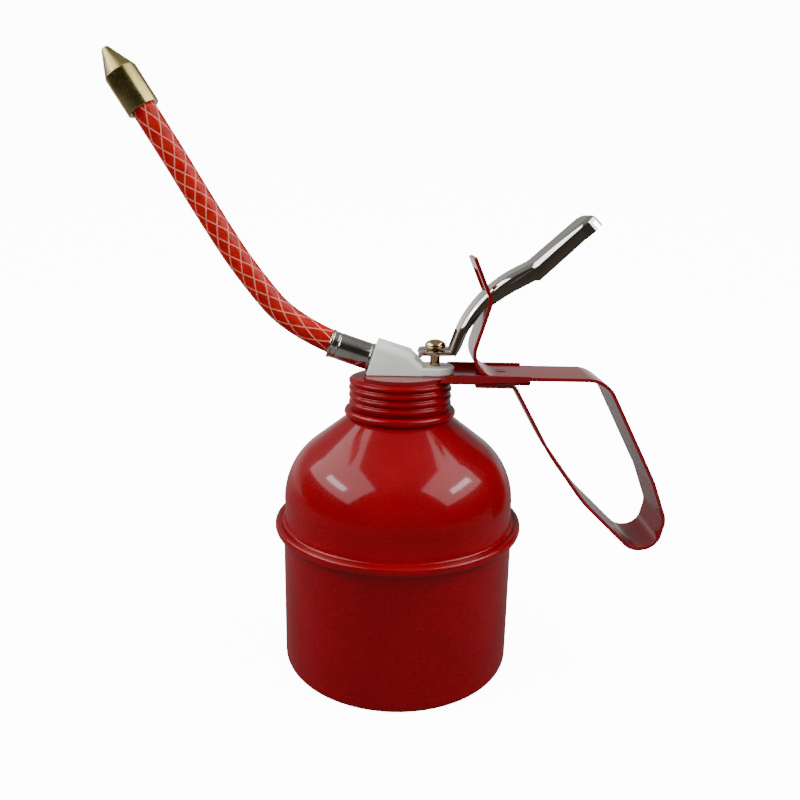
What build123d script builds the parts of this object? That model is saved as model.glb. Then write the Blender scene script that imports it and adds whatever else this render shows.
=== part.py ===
from build123d import *
import os
from math import cos, pi, radians, sin, tan

# Thumb-lever pump oiler: a two-part tinplate can with a screw cap that carries
# the handle, the lever, the plunger pump and a braided flexible spout.
# Millimetres. The origin is the centre of the can's flat base, +Z is up,
# +X points to the handle and -X to the spout.

# ---- can: its radius and its seam's height set most other sizes ----
can_radius = 40.0
seam_height = 51.0
can_wall = 0.6
can_corner = 2.6
seam_radius = can_radius + 2.9
seam_depth = 2.8
dome_radius = can_radius - 0.5
dome_shoulder_height = seam_height + 9.0
dome_shoulder_radius = 0.6 * can_radius
dome_shoulder_angle = 52.0

# ---- neck and cap ----
cap_radius = 16.9
cap_height = 10.05
cap_wall = 0.6
cap_corner = 2.2
cap_inner_corner = 0.4
cap_bottom_gap = 0.35
cap_ridge_count = 4
cap_ridge_start = 1.5
cap_ridge_rise = 0.55
cap_ridge_half = 0.9
thread_pitch = 2.5
thread_count = 3
thread_start = 1.4
thread_rise = 0.25
thread_foot = 0.5
thread_crest = 0.2
gasket_thickness = 1.5
gasket_side_gap = 0.4
neck_wall = 0.45
neck_inner_radius = cap_radius - 1.6
neck_foot_radius = cap_radius + 0.3
neck_bead_radius = cap_radius + 2.1
neck_bead_rise = 1.4717
neck_bead_section = 1.3
neck_bead_rounding = 1.235
neck_overlap = 1.5
sink = 0.1


def dome_wall_line(inset):
    # The dome's wall, set in by a distance: shoulder start, its middle, its end and the neck.
    angle = radians(dome_shoulder_angle)
    middle = dome_radius - dome_shoulder_radius
    radius = dome_shoulder_radius - inset
    start = Vector(middle + radius, 0, dome_shoulder_height)
    half = start + Vector(cos(angle / 2) - 1, 0, sin(angle / 2)) * radius
    end = start + Vector(cos(angle) - 1, 0, sin(angle)) * radius
    slope = Vector(-sin(angle), 0, cos(angle))
    neck = end + slope * ((end.X - neck_foot_radius) / sin(angle))
    return start, half, end, neck


neck_bead_height = dome_wall_line(0)[-1].Z + neck_bead_rise
cap_inner_radius = cap_radius - cap_wall
cap_bottom = neck_bead_height + neck_bead_section + cap_bottom_gap
cap_top = cap_bottom + cap_height
neck_top = cap_top - cap_wall - gasket_thickness

# ---- handle ----
bracket_sheet = 1.4
strap_sheet = 1.2
strap_width = 21.0
strap_side_gap = 0.2
bracket_pad_radius = cap_radius - 1.3
bracket_pad_cut = -11.8
bracket_shoulder = 3.15
bracket_ramp = 3.6
bracket_end = 42.0
bracket_flange = 3.2
bracket_end_corner = 1.2
bracket_fold = 1.26
rivet_radius = 1.4
rivet_place = 33.8
rivet_head_radius = 2.1
rivet_head = 0.5

strap_floor = cap_top + bracket_sheet
bracket_width = strap_width + 2 * (strap_side_gap + bracket_sheet)
pad_shoulder = (bracket_pad_radius**2 - (bracket_width / 2) ** 2) ** 0.5
bracket_ramp_start = pad_shoulder + bracket_shoulder
bracket_ramp_end = bracket_ramp_start + bracket_ramp

# ---- strap: middle line of the bent strip, from its free tip to its tail ----
strap_top_line = strap_floor + strap_sheet / 2
strap_tail_line = cap_top - strap_sheet / 2
strap_route = [
    (22.8, strap_top_line + 38.4),
    (28.6, strap_top_line + 24.9),
    (21.1, strap_top_line),
    (67.2, strap_top_line),
    (85.6, strap_top_line - 34.7),
    (90.7, strap_top_line - 48.1),
    (88.6, strap_top_line - 58.0),
    (80.3, strap_top_line - 59.1),
    (62.5, strap_top_line - 42.1),
    (50.0, strap_top_line - 25.1),
    (37.3, strap_tail_line),
    (24.5, strap_tail_line),
]
strap_bends = [6.0, 8.0, 10.0, 30.0, 7.0, 6.5, 6.5, 40.0, 60.0, 2.4]

# ---- pump body ----
rod_place = 11.5
spout_angle = 18.4
spout_root_height = cap_top - 0.7
body_face = 22.4
body_half_width = 6.8
body_face_rise = 6.5
body_back_place = 3.4
body_back_rise = 7.7
body_back_foot = 5.4
body_round = 3.0
boss_radius = 6.6
boss_height = 2.7
tongue_half_width = 5.0
tongue_left = -3.5
tongue_reach = neck_inner_radius - 0.3
tongue_bottom = cap_top - 5.3
tongue_gap = 0.15
rod_hole_gap = 0.08
passage_radius = 1.2
spigot_thread_radius = 2.3
spigot_thread_length = 6.0
seat_screw_places = [(-7.9, 3.8), (-7.9, -3.8)]
seat_screw_radius = 1.2
seat_screw_length = 8.0
seat_screw_head_radius = 2.4
seat_screw_head = 1.5
seat_screw_slot = 0.6
seat_screw_slot_depth = 0.8

# ---- pump ----
rod_radius = 1.7
rod_lower_radius = 1.1
rod_step_height = cap_top - 6.8
barrel_radius = 2.9
barrel_bore = 2.4
barrel_bottom = cap_top - 44.3
washer_thickness = 0.6
seal_thickness = 1.5
seal_gap = 0.05
seal_top = cap_top + 2.3
port_radius = 1.0
piston_radius = 2.33
piston_bottom = barrel_bottom + 8.0
piston_height = 6.0
piston_groove_depth = 0.7
piston_groove_height = 2.2
cup_gap = 0.04
spring_wire = 0.36
spring_radius = 2.05
spring_turns = 10
valve_height = 6.5
valve_chamber_radius = 1.35
valve_chamber_floor = 2.0
valve_hole_radius = 0.7
valve_ball_radius = 1.15
ball_seat_gap = 0.02
stop_pin_radius = 0.3
stop_pin_height = 5.4
tube_radius = 2.4
tube_wall = 0.5
tube_bottom = 5.0
tube_overlap = 4.0
tube_cut_angle = 30.0
strainer_wall = 0.4
strainer_bottom = 3.0
strainer_top = 12.0
strainer_slot = 0.6
strainer_slot_count = 6
strainer_slot_bottom = 5.0
strainer_slot_top = 8.5

washer_top = seal_top - seal_thickness
barrel_top = washer_top - washer_thickness
piston_top = piston_bottom + piston_height
piston_middle = piston_bottom + piston_height / 2

# ---- rod head ----
head_radius = 3.6
head_middle = strap_floor + 9.4
head_rise = 2.1
head_drop = 1.3

# ---- lever: its fork's top face is the height that the other places count from ----
lever_width = 15.0
lever_pad_width = lever_width + 2.0
lever_sheet = 1.2
fork_top = strap_floor + 8.2
fork_slot = 4.2
fork_slot_end = 17.6
keyhole_width = 8.4
keyhole_top = 6.7
keyhole_end = 22.0
pivot_rise = 15.1
pivot_notch = 1.0
window_side_gap = 0.5
window_top_margin = 3.6
window_from = 20.0
window_to = 34.0
web_middle = [
    (6.2, -2.4),
    (6.2, -0.6),
    (16.7, -0.6),
    (21.5, 13.68),
    (33.36, 24.46),
    (41.96, 28.96),
    (46.4, 32.98),
]
web_bends = [1.6, 1.9, 38.0, 40.0, 8.0]
arm_side = [
    (16.1, 0),
    (18.34, 4.3),
    (22.55, 12.99),
    (28.82, 20.34),
    (33.55, 24.19),
    (37.93, 26.85),
    (41.6, 29.5),
    (42.9, 24.2),
    (34.7, 19.7),
    (28.2, 15.2),
    (26.9, 15.0),
    (21.6, 7.3),
    (19.4, 1.5),
    (17.8, -1.2),
]
pad_side = [(41.6, 29.5), (59.3, 45.5), (62.9, 41.9), (60.4, 40.0), (42.9, 24.2)]
pad_corner = 5.0
pad_drop = 1.66

pivot_height = fork_top + pivot_rise

# ---- spout hose, ferrule and nozzle ----
hose_radius = 4.0
hose_bore = hose_radius - 1.5
spigot_flange = 1.0
spigot_barb_length = 12.0
spigot_bore = 1.2
ferrule_radius = hose_radius + 0.6
ferrule_length = 13.8
ferrule_lip = 0.3
ferrule_lip_length = 0.9
spigot_flange_radius = ferrule_radius + 0.2
nozzle_radius = hose_radius + 1.3
nozzle_body = 12.6
nozzle_cone = 8.0
nozzle_chamfer = 0.4
nozzle_tip_radius = 1.15
nozzle_socket = 6.0
nozzle_barb_length = 5.5
nozzle_bore = 1.2
nozzle_orifice = 0.7
nozzle_orifice_length = 4.0
nozzle_bore_cone = 1.0
hose_share = 0.45
hose_first_run = 25.2
hose_offsets = [(-16.885, 19.96), (-29.885, 40.86), (-40.385, 58.66), (-49.985, 73.96)]

spout_out = Vector(-cos(radians(spout_angle)), 0, sin(radians(spout_angle)))
spout_root = Vector(rod_place, 0, spout_root_height)


def on_spout(distance):
    # A point on the straight line that the spout's socket and ferrule share.
    return spout_root + spout_out * distance


hose_start = on_spout(body_face + spigot_flange)
hose_turn = on_spout(body_face + spigot_flange + hose_first_run)
hose_route = [(hose_start.X, hose_start.Z), (hose_turn.X, hose_turn.Z)]
hose_route += [(hose_turn.X + x, hose_turn.Z + z) for x, z in hose_offsets]


def upright(points):
    # Points in the side view, x and z, as points of the y = 0 plane.
    return [Vector(x, 0, z) for x, z in points]


def turned(points):
    # A closed outline of radius and height, turned about the Z axis.
    return revolve(make_face(Polyline(*upright(points), close=True)), Axis.Z)


def ring(inner, outer, bottom, top, x=0.0):
    # A plain ring or, with no inner radius, a disc, standing on Z at place x.
    body = Pos(x, 0, (bottom + top) / 2) * Cylinder(outer, top - bottom)
    if inner > 0:
        body -= Pos(x, 0, (bottom + top) / 2) * Cylinder(inner, 2 * (top - bottom))
    return body


def plank(low, high):
    # A box between two corners.
    sizes = [b - a for a, b in zip(low, high)]
    middle = [(a + b) / 2 for a, b in zip(low, high)]
    return Pos(*middle) * Box(*sizes)


def strip(route, bends, sheet, width):
    # A bent strip: sheet is its thickness, width its size along Y.
    line = FilletPolyline(*upright(route), radius=bends)
    outline = offset(line, amount=sheet / 2, kind=Kind.ARC)
    return extrude(make_face(outline), amount=width / 2, both=True)


def slab(points, width):
    # A side-view polygon with straight edges, extruded evenly to both sides.
    face = make_face(Polyline(*upright(points), close=True))
    return extrude(face, amount=width / 2, both=True)


def along_spout(start, length, radius):
    # A cylinder on the spout's line, from a distance out from the rod's axis.
    plane = Plane(origin=on_spout(start), z_dir=spout_out)
    return plane * Cylinder(radius, length, align=(Align.CENTER, Align.CENTER, Align.MIN))


# ---------------------------------------------------------------- can
def make_lower_can():
    # Deep-drawn cup with a flange at its rim that the upper half is rolled over.
    inner = can_radius - can_wall
    cup = ring(0, can_radius, 0, seam_height)
    cup = fillet(cup.edges().group_by(Axis.Z)[0], can_corner)
    hollow = ring(0, inner, can_wall, seam_height + 1)
    hollow = fillet(hollow.edges().group_by(Axis.Z)[0], can_corner - can_wall)
    rim = ring(inner, seam_radius - can_wall, seam_height - can_wall, seam_height)
    return cup - hollow + rim


def make_upper_dome():
    # Upper half: a folded seam, a short wall, a round shoulder and a cone.
    out = dome_wall_line(0)
    inn = dome_wall_line(can_wall)
    lip = seam_radius - can_wall
    seam_edge = seam_radius - seam_depth / 2
    seam_low = seam_height - seam_depth / 2
    seam_high = seam_height + seam_depth / 2
    corners = upright(
        [
            (inn[0].X, seam_height),
            (lip, seam_height),
            (lip, seam_height - can_wall),
            (can_radius, seam_height - can_wall),
            (can_radius, seam_low),
            (seam_edge, seam_low),
            (seam_edge, seam_high),
            (dome_radius, seam_high),
        ]
    )
    outline = [
        Polyline(inn[0], *corners[:6]),
        ThreePointArc(corners[5], Vector(seam_radius, 0, seam_height), corners[6]),
        Polyline(*corners[6:], out[0]),
        ThreePointArc(out[0], out[1], out[2]),
        Polyline(out[2], out[3], inn[3], inn[2]),
        ThreePointArc(inn[2], inn[1], inn[0]),
    ]
    return revolve(make_face(outline), Axis.Z)


def make_threaded_neck():
    # Neck sleeve, seated in the dome's mouth, with a bead and thread rings.
    root = neck_inner_radius + neck_wall
    foot = neck_bead_height - neck_bead_section
    neck = ring(neck_inner_radius, root, foot - neck_overlap, neck_top)
    bead = ring(root - sink, neck_bead_radius, foot, foot + 2 * neck_bead_section)
    rims = bead.edges().filter_by(GeomType.CIRCLE).sort_by(SortBy.RADIUS)[-2:]
    bead = fillet(rims, neck_bead_rounding)
    for turn in range(thread_count):
        height = cap_bottom + thread_start + turn * thread_pitch
        neck += turned(
            [
                (root - sink, height - thread_foot),
                (root + thread_rise, height - thread_crest),
                (root + thread_rise, height + thread_crest),
                (root - sink, height + thread_foot),
            ]
        )
    return neck + bead


# ---------------------------------------------------------------- cap
def tongue_shape(bottom, top, gap):
    # The pump body's foot, which passes through the pad and the cap.
    box = plank(
        (tongue_left - gap, -tongue_half_width - gap, bottom),
        (tongue_reach + 1, tongue_half_width + gap, top),
    )
    return box & ring(0, tongue_reach + gap, bottom, top)


def seat_screw_holes(bottom, top, gap):
    radius = seat_screw_radius + gap
    return [Pos(0, y, 0) * ring(0, radius, bottom, top, x) for x, y in seat_screw_places]


def cut_through_seat(shape, bottom, top):
    # Openings for the pump body's foot and for the two seat screws.
    shape -= tongue_shape(bottom, top, tongue_gap)
    for hole in seat_screw_holes(bottom, top, tongue_gap):
        shape -= hole
    return shape


def make_screw_cap():
    # Pressed cap: a flat top, a rounded corner and a skirt with rolled ridges.
    cap = ring(0, cap_radius, cap_bottom, cap_top)
    cap = fillet(cap.edges().group_by(Axis.Z)[-1], cap_corner)
    crest = cap_radius + cap_ridge_rise
    flank = cap_radius + 0.7 * cap_ridge_rise
    for turn in range(cap_ridge_count):
        height = cap_bottom + cap_ridge_start + turn * thread_pitch
        cap += turned(
            [
                (cap_radius - 2 * sink, height - cap_ridge_half),
                (flank, height - cap_ridge_half / 2),
                (crest, height),
                (flank, height + cap_ridge_half / 2),
                (cap_radius - 2 * sink, height + cap_ridge_half),
            ]
        )
    hollow = ring(0, cap_inner_radius, cap_bottom - 1, cap_top - cap_wall)
    hollow = fillet(hollow.edges().group_by(Axis.Z)[-1], cap_inner_corner)
    return cut_through_seat(cap - hollow, cap_top - 2 * cap_wall, cap_top + 1)


def make_cap_gasket():
    # Rubber ring between the neck's rim and the cap's top.
    outer = cap_inner_radius - gasket_side_gap
    return ring(neck_inner_radius, outer, neck_top, neck_top + gasket_thickness)


# ---------------------------------------------------------------- handle
def make_bracket():
    # Stamped arm: a round pad on the cap and a channel that the strap lies in.
    half = bracket_width / 2
    rim = cap_top + bracket_flange
    side = [
        (bracket_ramp_start, cap_top),
        (bracket_ramp_start, strap_floor),
        (bracket_ramp_end, rim),
        (bracket_end, rim),
        (bracket_end, cap_top),
    ]
    channel = slab(side, bracket_width)
    channel = fillet(channel.edges().filter_by(Axis.X).group_by(Axis.Z)[0], bracket_fold)
    end_corner = channel.edges().filter_by(Axis.Y).group_by(Axis.Z)[-1].sort_by(Axis.X)[-1]
    channel = fillet(end_corner, bracket_end_corner)
    inner = half - bracket_sheet
    channel -= plank((0, -inner, strap_floor), (bracket_end + 1, inner, rim + 1))
    pad = ring(0, bracket_pad_radius, cap_top, strap_floor)
    pad -= plank((-can_radius, -can_radius, cap_top - 1), (bracket_pad_cut, can_radius, strap_floor + 1))
    pad += plank((pad_shoulder, -half, cap_top), (bracket_ramp_start, half, strap_floor))
    bracket = cut_through_seat(pad + channel, cap_top - 1, strap_floor + 1)
    return bracket - ring(0, rivet_radius, cap_top - 1, strap_floor + 1, rivet_place)


def make_handle_strap():
    # One strip: an upright with the lever's window, the grip loop and a tail.
    strap = strip(strap_route, strap_bends, strap_sheet, strap_width)
    window_top = strap_route[0][1] - window_top_margin
    half = lever_width / 2 + window_side_gap
    strap -= plank((window_from, -half, pivot_height), (window_to, half, window_top))
    low = strap_tail_line - strap_sheet
    return strap - ring(0, rivet_radius, low, strap_top_line + strap_sheet, rivet_place)


def make_strap_rivet():
    # Rivet through the strap, the bracket and the tail.
    low = strap_tail_line - strap_sheet / 2
    high = strap_top_line + strap_sheet / 2
    rivet = ring(0, rivet_radius, low - rivet_head, high + rivet_head, rivet_place)
    rivet += ring(0, rivet_head_radius, low - rivet_head, low, rivet_place)
    rivet += ring(0, rivet_head_radius, high, high + rivet_head, rivet_place)
    ends = rivet.edges().filter_by(GeomType.CIRCLE)
    return fillet([ends.sort_by(Axis.Z)[0], ends.sort_by(Axis.Z)[-1]], rivet_head * 0.6)


# ---------------------------------------------------------------- pump body
def make_pump_body():
    # White moulded head: a nose square to the spout, a low boss for the rod,
    # and a foot inside the cap that takes the barrel.
    base = strap_floor
    face = on_spout(body_face)
    up = Vector(sin(radians(spout_angle)), 0, cos(radians(spout_angle)))
    top = face + up * body_face_rise
    foot = face - up * ((face.Z - base) / up.Z)
    back_top = base + body_back_rise
    boss_top = base + boss_height
    nose = slab(
        [
            (foot.X, base),
            (top.X, top.Z),
            (body_back_place, back_top),
            (body_back_foot, boss_top),
            (body_back_foot, base),
        ],
        2 * body_half_width,
    )
    rims = [edge for edge in nose.edges() if edge.center().Z > back_top and abs(edge.center().Y) > 1]
    nose = fillet(rims, body_round)
    boss = ring(0, boss_radius, base, boss_top, rod_place)
    boss += plank((body_back_place, -boss_radius, base), (rod_place, boss_radius, boss_top))
    body = nose + boss + tongue_shape(tongue_bottom, base, 0)
    body -= ring(0, barrel_radius, tongue_bottom - 1, seal_top, rod_place)
    body -= ring(0, rod_radius + rod_hole_gap, seal_top - 1, boss_top + 1, rod_place)
    body -= along_spout(barrel_bore, body_face, passage_radius)
    body -= along_spout(body_face - spigot_thread_length, spigot_thread_length + 1, spigot_thread_radius)
    for hole in seat_screw_holes(base - 1, cap_top - cap_wall + seat_screw_length, 0):
        body -= hole
    return body


def make_seat_screws():
    # Two slotted screws that clamp the cap and the pad to the pump body.
    seat = cap_top - cap_wall
    screws = []
    for x, y in seat_screw_places:
        shank = ring(0, seat_screw_radius, seat, seat + seat_screw_length)
        head = ring(0, seat_screw_head_radius, seat - seat_screw_head, seat)
        head = fillet(head.edges().group_by(Axis.Z)[0], 0.4 * seat_screw_head)
        head -= plank(
            (-seat_screw_length, -seat_screw_slot / 2, seat - 2 * seat_screw_head),
            (seat_screw_length, seat_screw_slot / 2, seat - seat_screw_head + seat_screw_slot_depth),
        )
        screws.append(Pos(x, y, 0) * (shank + head))
    return Compound(children=screws)


def make_rod_seal():
    return ring(rod_radius + seal_gap, barrel_radius, washer_top, seal_top, rod_place)


def make_seal_washer():
    return ring(rod_radius + rod_hole_gap, barrel_radius, barrel_top, washer_top, rod_place)


def make_pump_barrel():
    # Pump tube with the delivery port near its top, on the spout's line.
    barrel = ring(barrel_bore, barrel_radius, barrel_bottom, barrel_top, rod_place)
    return barrel - along_spout(barrel_bore - 1, barrel_radius, port_radius)


def make_foot_valve():
    # Inlet valve pressed into the barrel's foot, with a stub for the tube.
    low = barrel_bottom
    valve = ring(0, barrel_bore, low, low + valve_height, rod_place)
    valve += ring(0, tube_radius - tube_wall, low - tube_overlap, low, rod_place)
    valve -= ring(0, valve_hole_radius, low - tube_overlap - 1, low + valve_height, rod_place)
    valve -= ring(0, valve_chamber_radius, low + valve_chamber_floor, low + valve_height + 1, rod_place)
    across = Rot(90, 0, 0) * Cylinder(stop_pin_radius, 4 * barrel_bore)
    pin = Pos(rod_place, 0, low + stop_pin_height) * across
    return valve - pin


def make_ball_stop():
    length = 2 * barrel_bore
    pin = Rot(90, 0, 0) * Cylinder(stop_pin_radius, length)
    pin = Pos(rod_place, 0, barrel_bottom + stop_pin_height) * pin
    return pin & ring(0, barrel_bore, barrel_bottom, barrel_bottom + valve_height, rod_place)


def ball_seat_height():
    # Height of the ball's middle when it rests on the edge of the inlet hole.
    drop = (valve_ball_radius**2 - valve_hole_radius**2) ** 0.5
    return barrel_bottom + valve_chamber_floor + drop


def make_foot_ball():
    return Pos(rod_place, 0, ball_seat_height() + ball_seat_gap) * Sphere(valve_ball_radius)


def make_suction_tube():
    # Dip tube with its lower end cut at an angle, so that it can't seal on the floor.
    tube = ring(tube_radius - tube_wall, tube_radius, tube_bottom, barrel_bottom, rod_place)
    size = 8 * tube_radius
    below = Box(size, size, size / 2, align=(Align.CENTER, Align.CENTER, Align.MAX))
    return tube - Pos(rod_place, 0, tube_bottom + tube_radius) * Rot(0, tube_cut_angle, 0) * below


def make_strainer():
    # Slotted cup pushed over the tube's lower end.
    outer = tube_radius + strainer_wall
    cup = ring(0, outer, strainer_bottom, strainer_top, rod_place)
    cup -= ring(0, tube_radius, strainer_bottom + strainer_wall, strainer_top + 1, rod_place)
    for index in range(strainer_slot_count // 2):
        slot = plank(
            (-outer - 1, -strainer_slot / 2, strainer_slot_bottom),
            (outer + 1, strainer_slot / 2, strainer_slot_top),
        )
        cup -= Pos(rod_place, 0, 0) * Rot(0, 0, 360 * index / strainer_slot_count) * slot
    return cup


# ---------------------------------------------------------------- plunger
def half_ball(height, side):
    # Half of a flattened ball of the head's radius: side is 1 for the upper half.
    ball = scale(Sphere(head_radius), by=(1, 1, height / head_radius))
    size = 4 * head_radius
    return ball - Pos(0, 0, -side * size / 2) * Box(size, size, size)


def make_piston_rod():
    # Polished rod with a flattened ball on top for the lever's fork.
    upper = ring(0, rod_radius, rod_step_height, head_middle, rod_place)
    lower = ring(0, rod_lower_radius, piston_bottom, rod_step_height, rod_place)
    head = half_ball(head_rise, 1) + half_ball(head_drop, -1)
    return upper + lower + Pos(rod_place, 0, head_middle) * head


def piston_groove_ring(outer):
    # The space of the piston's groove, out to a radius.
    inner = piston_radius - piston_groove_depth
    half = piston_groove_height / 2
    return ring(inner, outer, piston_middle - half, piston_middle + half, rod_place)


def make_piston():
    # Brass piston on the rod, with a groove for its rubber cup.
    piston = ring(rod_lower_radius, piston_radius, piston_bottom, piston_top, rod_place)
    return piston - piston_groove_ring(barrel_radius)


def make_piston_cup():
    return piston_groove_ring(barrel_bore - cup_gap)


def make_return_spring():
    # Compression spring between the washer and the piston.
    low = piston_top + spring_wire / 2
    high = barrel_top - spring_wire / 2
    line = Helix((high - low) / spring_turns, high - low, spring_radius)
    section = Plane(origin=line @ 0, z_dir=line % 0) * Circle(spring_wire / 2)
    return Pos(rod_place, 0, low) * sweep(section, path=line)


# ---------------------------------------------------------------- lever
def from_fork(points):
    # Places written from the fork's top face, as places in the part.
    return [(x, fork_top + z) for x, z in points]


def pad_block(width, corner):
    # The thumb pad as a solid, with the two corners of its nose rounded.
    side = from_fork(pad_side)
    block = slab(side, width)
    front = [edge for edge in block.edges() if edge.center().X > side[1][0]]
    corners = [edge for edge in front if abs(edge.center().Y) > 0.4 * width and edge.center().Z > side[2][1]]
    return fillet(corners, corner)


def make_lever():
    # Pressed channel, open below, with a forked foot and a wider thumb pad.
    inner = lever_width - 2 * lever_sheet
    arm = slab(from_fork(arm_side), lever_width) - slab(from_fork(arm_side), inner)
    hollow = pad_block(lever_pad_width - 2 * lever_sheet, pad_corner - lever_sheet)
    pad = pad_block(lever_pad_width, pad_corner) - Pos(0, 0, -pad_drop) * hollow
    web = strip(from_fork(web_middle), web_bends, lever_sheet, lever_width)
    lever = web + arm + pad
    toe = fork_top + web_middle[0][1] - lever_sheet
    lever -= plank((0, -fork_slot / 2, toe), (fork_slot_end, fork_slot / 2, fork_top + 1))
    keyhole_high = fork_top + keyhole_top
    lever -= plank((rod_place, -keyhole_width / 2, fork_top), (keyhole_end, keyhole_width / 2, keyhole_high))
    notch = Rot(90, 0, 0) * Cylinder(pivot_notch, 2 * lever_width)
    return lever - Pos(pivot_place(), 0, pivot_height) * notch


def pivot_place():
    # Where the strap's middle line crosses the lower edge of the window.
    (x1, z1), (x2, z2) = strap_route[1], strap_route[2]
    return x2 + (x1 - x2) * (pivot_height - z2) / (z1 - z2)


# ---------------------------------------------------------------- spout
def make_hose_spigot():
    # Screwed into the body: a flange, a thread and a barbed stub in the hose.
    thread = along_spout(body_face - spigot_thread_length, spigot_thread_length, spigot_thread_radius)
    flange = along_spout(body_face, spigot_flange, spigot_flange_radius)
    barb = along_spout(body_face + spigot_flange, spigot_barb_length, hose_bore)
    length = spigot_thread_length + spigot_flange + spigot_barb_length
    hole = along_spout(body_face - spigot_thread_length - 1, length + 2, spigot_bore)
    return thread + flange + barb - hole


def make_ferrule():
    # Crimped sleeve round the hose's end, with a rolled lip.
    start = body_face + spigot_flange
    sleeve = along_spout(start, ferrule_length, ferrule_radius)
    lip_start = start + ferrule_length - ferrule_lip_length
    sleeve += along_spout(lip_start, ferrule_lip_length, ferrule_radius + ferrule_lip)
    return sleeve - along_spout(start - 1, ferrule_length + 2, hose_radius)


def hose_bend_radii():
    # Each bend is as large as the shorter of its two runs allows.
    points = [Vector(x, 0, z) for x, z in hose_route]
    radii = []
    for before, corner, after in zip(points, points[1:], points[2:]):
        run = min((corner - before).length, (after - corner).length)
        half_turn = radians((corner - before).get_angle(after - corner)) / 2
        radii.append(hose_share * run / tan(half_turn))
    return radii


def make_hose():
    # Braided hose, from the spigot's flange to the bottom of the nozzle's socket.
    line = FilletPolyline(*upright(hose_route), radius=hose_bend_radii())
    plane = Plane(origin=line @ 0, z_dir=line % 0)
    outer = sweep(plane * Circle(hose_radius), path=line)
    inner = sweep(plane * Circle(hose_bore), path=line)
    hose = outer - inner
    section = pi * (hose_radius**2 - hose_bore**2)
    print("hose length", round(line.length, 2), "radii", [round(r, 1) for r in hose_bend_radii()])
    print("hose volume over section times length", round(hose.volume / (section * line.length), 4))
    return hose


def make_nozzle():
    # Turned brass nozzle: a socket over the hose, a cone and a fine hole.
    last = Vector(hose_route[-1][0], 0, hose_route[-1][1])
    before = Vector(hose_route[-2][0], 0, hose_route[-2][1])
    shoulder = nozzle_body - nozzle_socket
    tip = shoulder + nozzle_cone
    orifice_foot = tip - nozzle_orifice_length
    outline = [
        (nozzle_bore, -nozzle_barb_length),
        (hose_bore, -nozzle_barb_length),
        (hose_bore, 0),
        (hose_radius, 0),
        (hose_radius, -nozzle_socket),
        (nozzle_radius, -nozzle_socket),
        (nozzle_radius, shoulder - nozzle_chamfer),
        (nozzle_radius - nozzle_chamfer, shoulder),
        (nozzle_tip_radius, tip),
        (nozzle_orifice, tip),
        (nozzle_orifice, orifice_foot),
        (nozzle_bore, orifice_foot - nozzle_bore_cone),
    ]
    plane = Plane(origin=last, x_dir=Vector(0, 1, 0), z_dir=(last - before).normalized())
    return plane * turned(outline)


makers = {
    "lower_can": make_lower_can,
    "upper_dome": make_upper_dome,
    "threaded_neck": make_threaded_neck,
    "cap_gasket": make_cap_gasket,
    "screw_cap": make_screw_cap,
    "bracket": make_bracket,
    "handle_strap": make_handle_strap,
    "strap_rivet": make_strap_rivet,
    "pump_body": make_pump_body,
    "seat_screws": make_seat_screws,
    "rod_seal": make_rod_seal,
    "seal_washer": make_seal_washer,
    "pump_barrel": make_pump_barrel,
    "foot_valve": make_foot_valve,
    "ball_stop": make_ball_stop,
    "foot_ball": make_foot_ball,
    "suction_tube": make_suction_tube,
    "strainer": make_strainer,
    "piston_rod": make_piston_rod,
    "piston": make_piston,
    "piston_cup": make_piston_cup,
    "return_spring": make_return_spring,
    "lever": make_lever,
    "hose_spigot": make_hose_spigot,
    "ferrule": make_ferrule,
    "hose": make_hose,
    "nozzle": make_nozzle,
}

os.makedirs("parts", exist_ok=True)
for name, maker in makers.items():
    export_step(maker(), f"parts/{name}.step")
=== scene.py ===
# %% [markdown]
# # A thumb-lever pump oiler
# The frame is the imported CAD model: every part in its right place and size.
# This lesson dresses it. Each visible part is modelled again as a finer mesh on
# the same numbers, and each gets a finish of its own.

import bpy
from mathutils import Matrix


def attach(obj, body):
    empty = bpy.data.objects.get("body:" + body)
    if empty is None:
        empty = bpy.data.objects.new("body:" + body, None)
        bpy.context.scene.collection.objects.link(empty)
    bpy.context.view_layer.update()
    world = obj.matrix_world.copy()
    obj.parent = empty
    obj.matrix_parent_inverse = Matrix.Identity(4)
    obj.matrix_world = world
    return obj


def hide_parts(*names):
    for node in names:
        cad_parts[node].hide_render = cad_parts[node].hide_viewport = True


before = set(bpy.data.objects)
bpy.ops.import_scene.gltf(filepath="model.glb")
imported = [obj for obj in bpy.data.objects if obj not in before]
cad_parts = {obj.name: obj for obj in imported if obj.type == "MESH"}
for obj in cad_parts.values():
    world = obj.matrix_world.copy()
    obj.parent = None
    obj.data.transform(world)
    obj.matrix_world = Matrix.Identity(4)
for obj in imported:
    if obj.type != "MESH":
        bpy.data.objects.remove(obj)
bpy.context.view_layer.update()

# %% [markdown]
# ## The camera
# The can stands on the origin and the camera looks along +Y, a little down and
# turned by one degree about its own line of sight, as a hand-held one often is.
# The turn is made of two plain rotations, so each can be read by itself.

# %% Camera
from math import atan2, cos, pi, radians, sin, sqrt, tan

import bmesh
import bpy
from mathutils import Matrix, Vector

camera_data = bpy.data.cameras.new("camera")
camera = bpy.data.objects.new("camera", camera_data)
bpy.context.scene.collection.objects.link(camera)
camera_back, camera_rise = 0.245945, 0.15514
look_down, roll = 13.943, 1.088
camera.matrix_world = (
    Matrix.Translation((0, -camera_back, camera_rise))
    @ Matrix.Rotation(radians(90 - look_down), 4, "X")
    @ Matrix.Rotation(radians(roll), 4, "Z")
)
camera_data.sensor_width = 36
camera_data.lens = 33.42
camera_data.clip_start = 0.01
bpy.context.scene.camera = camera
print("camera lens", camera_data.lens)

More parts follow.
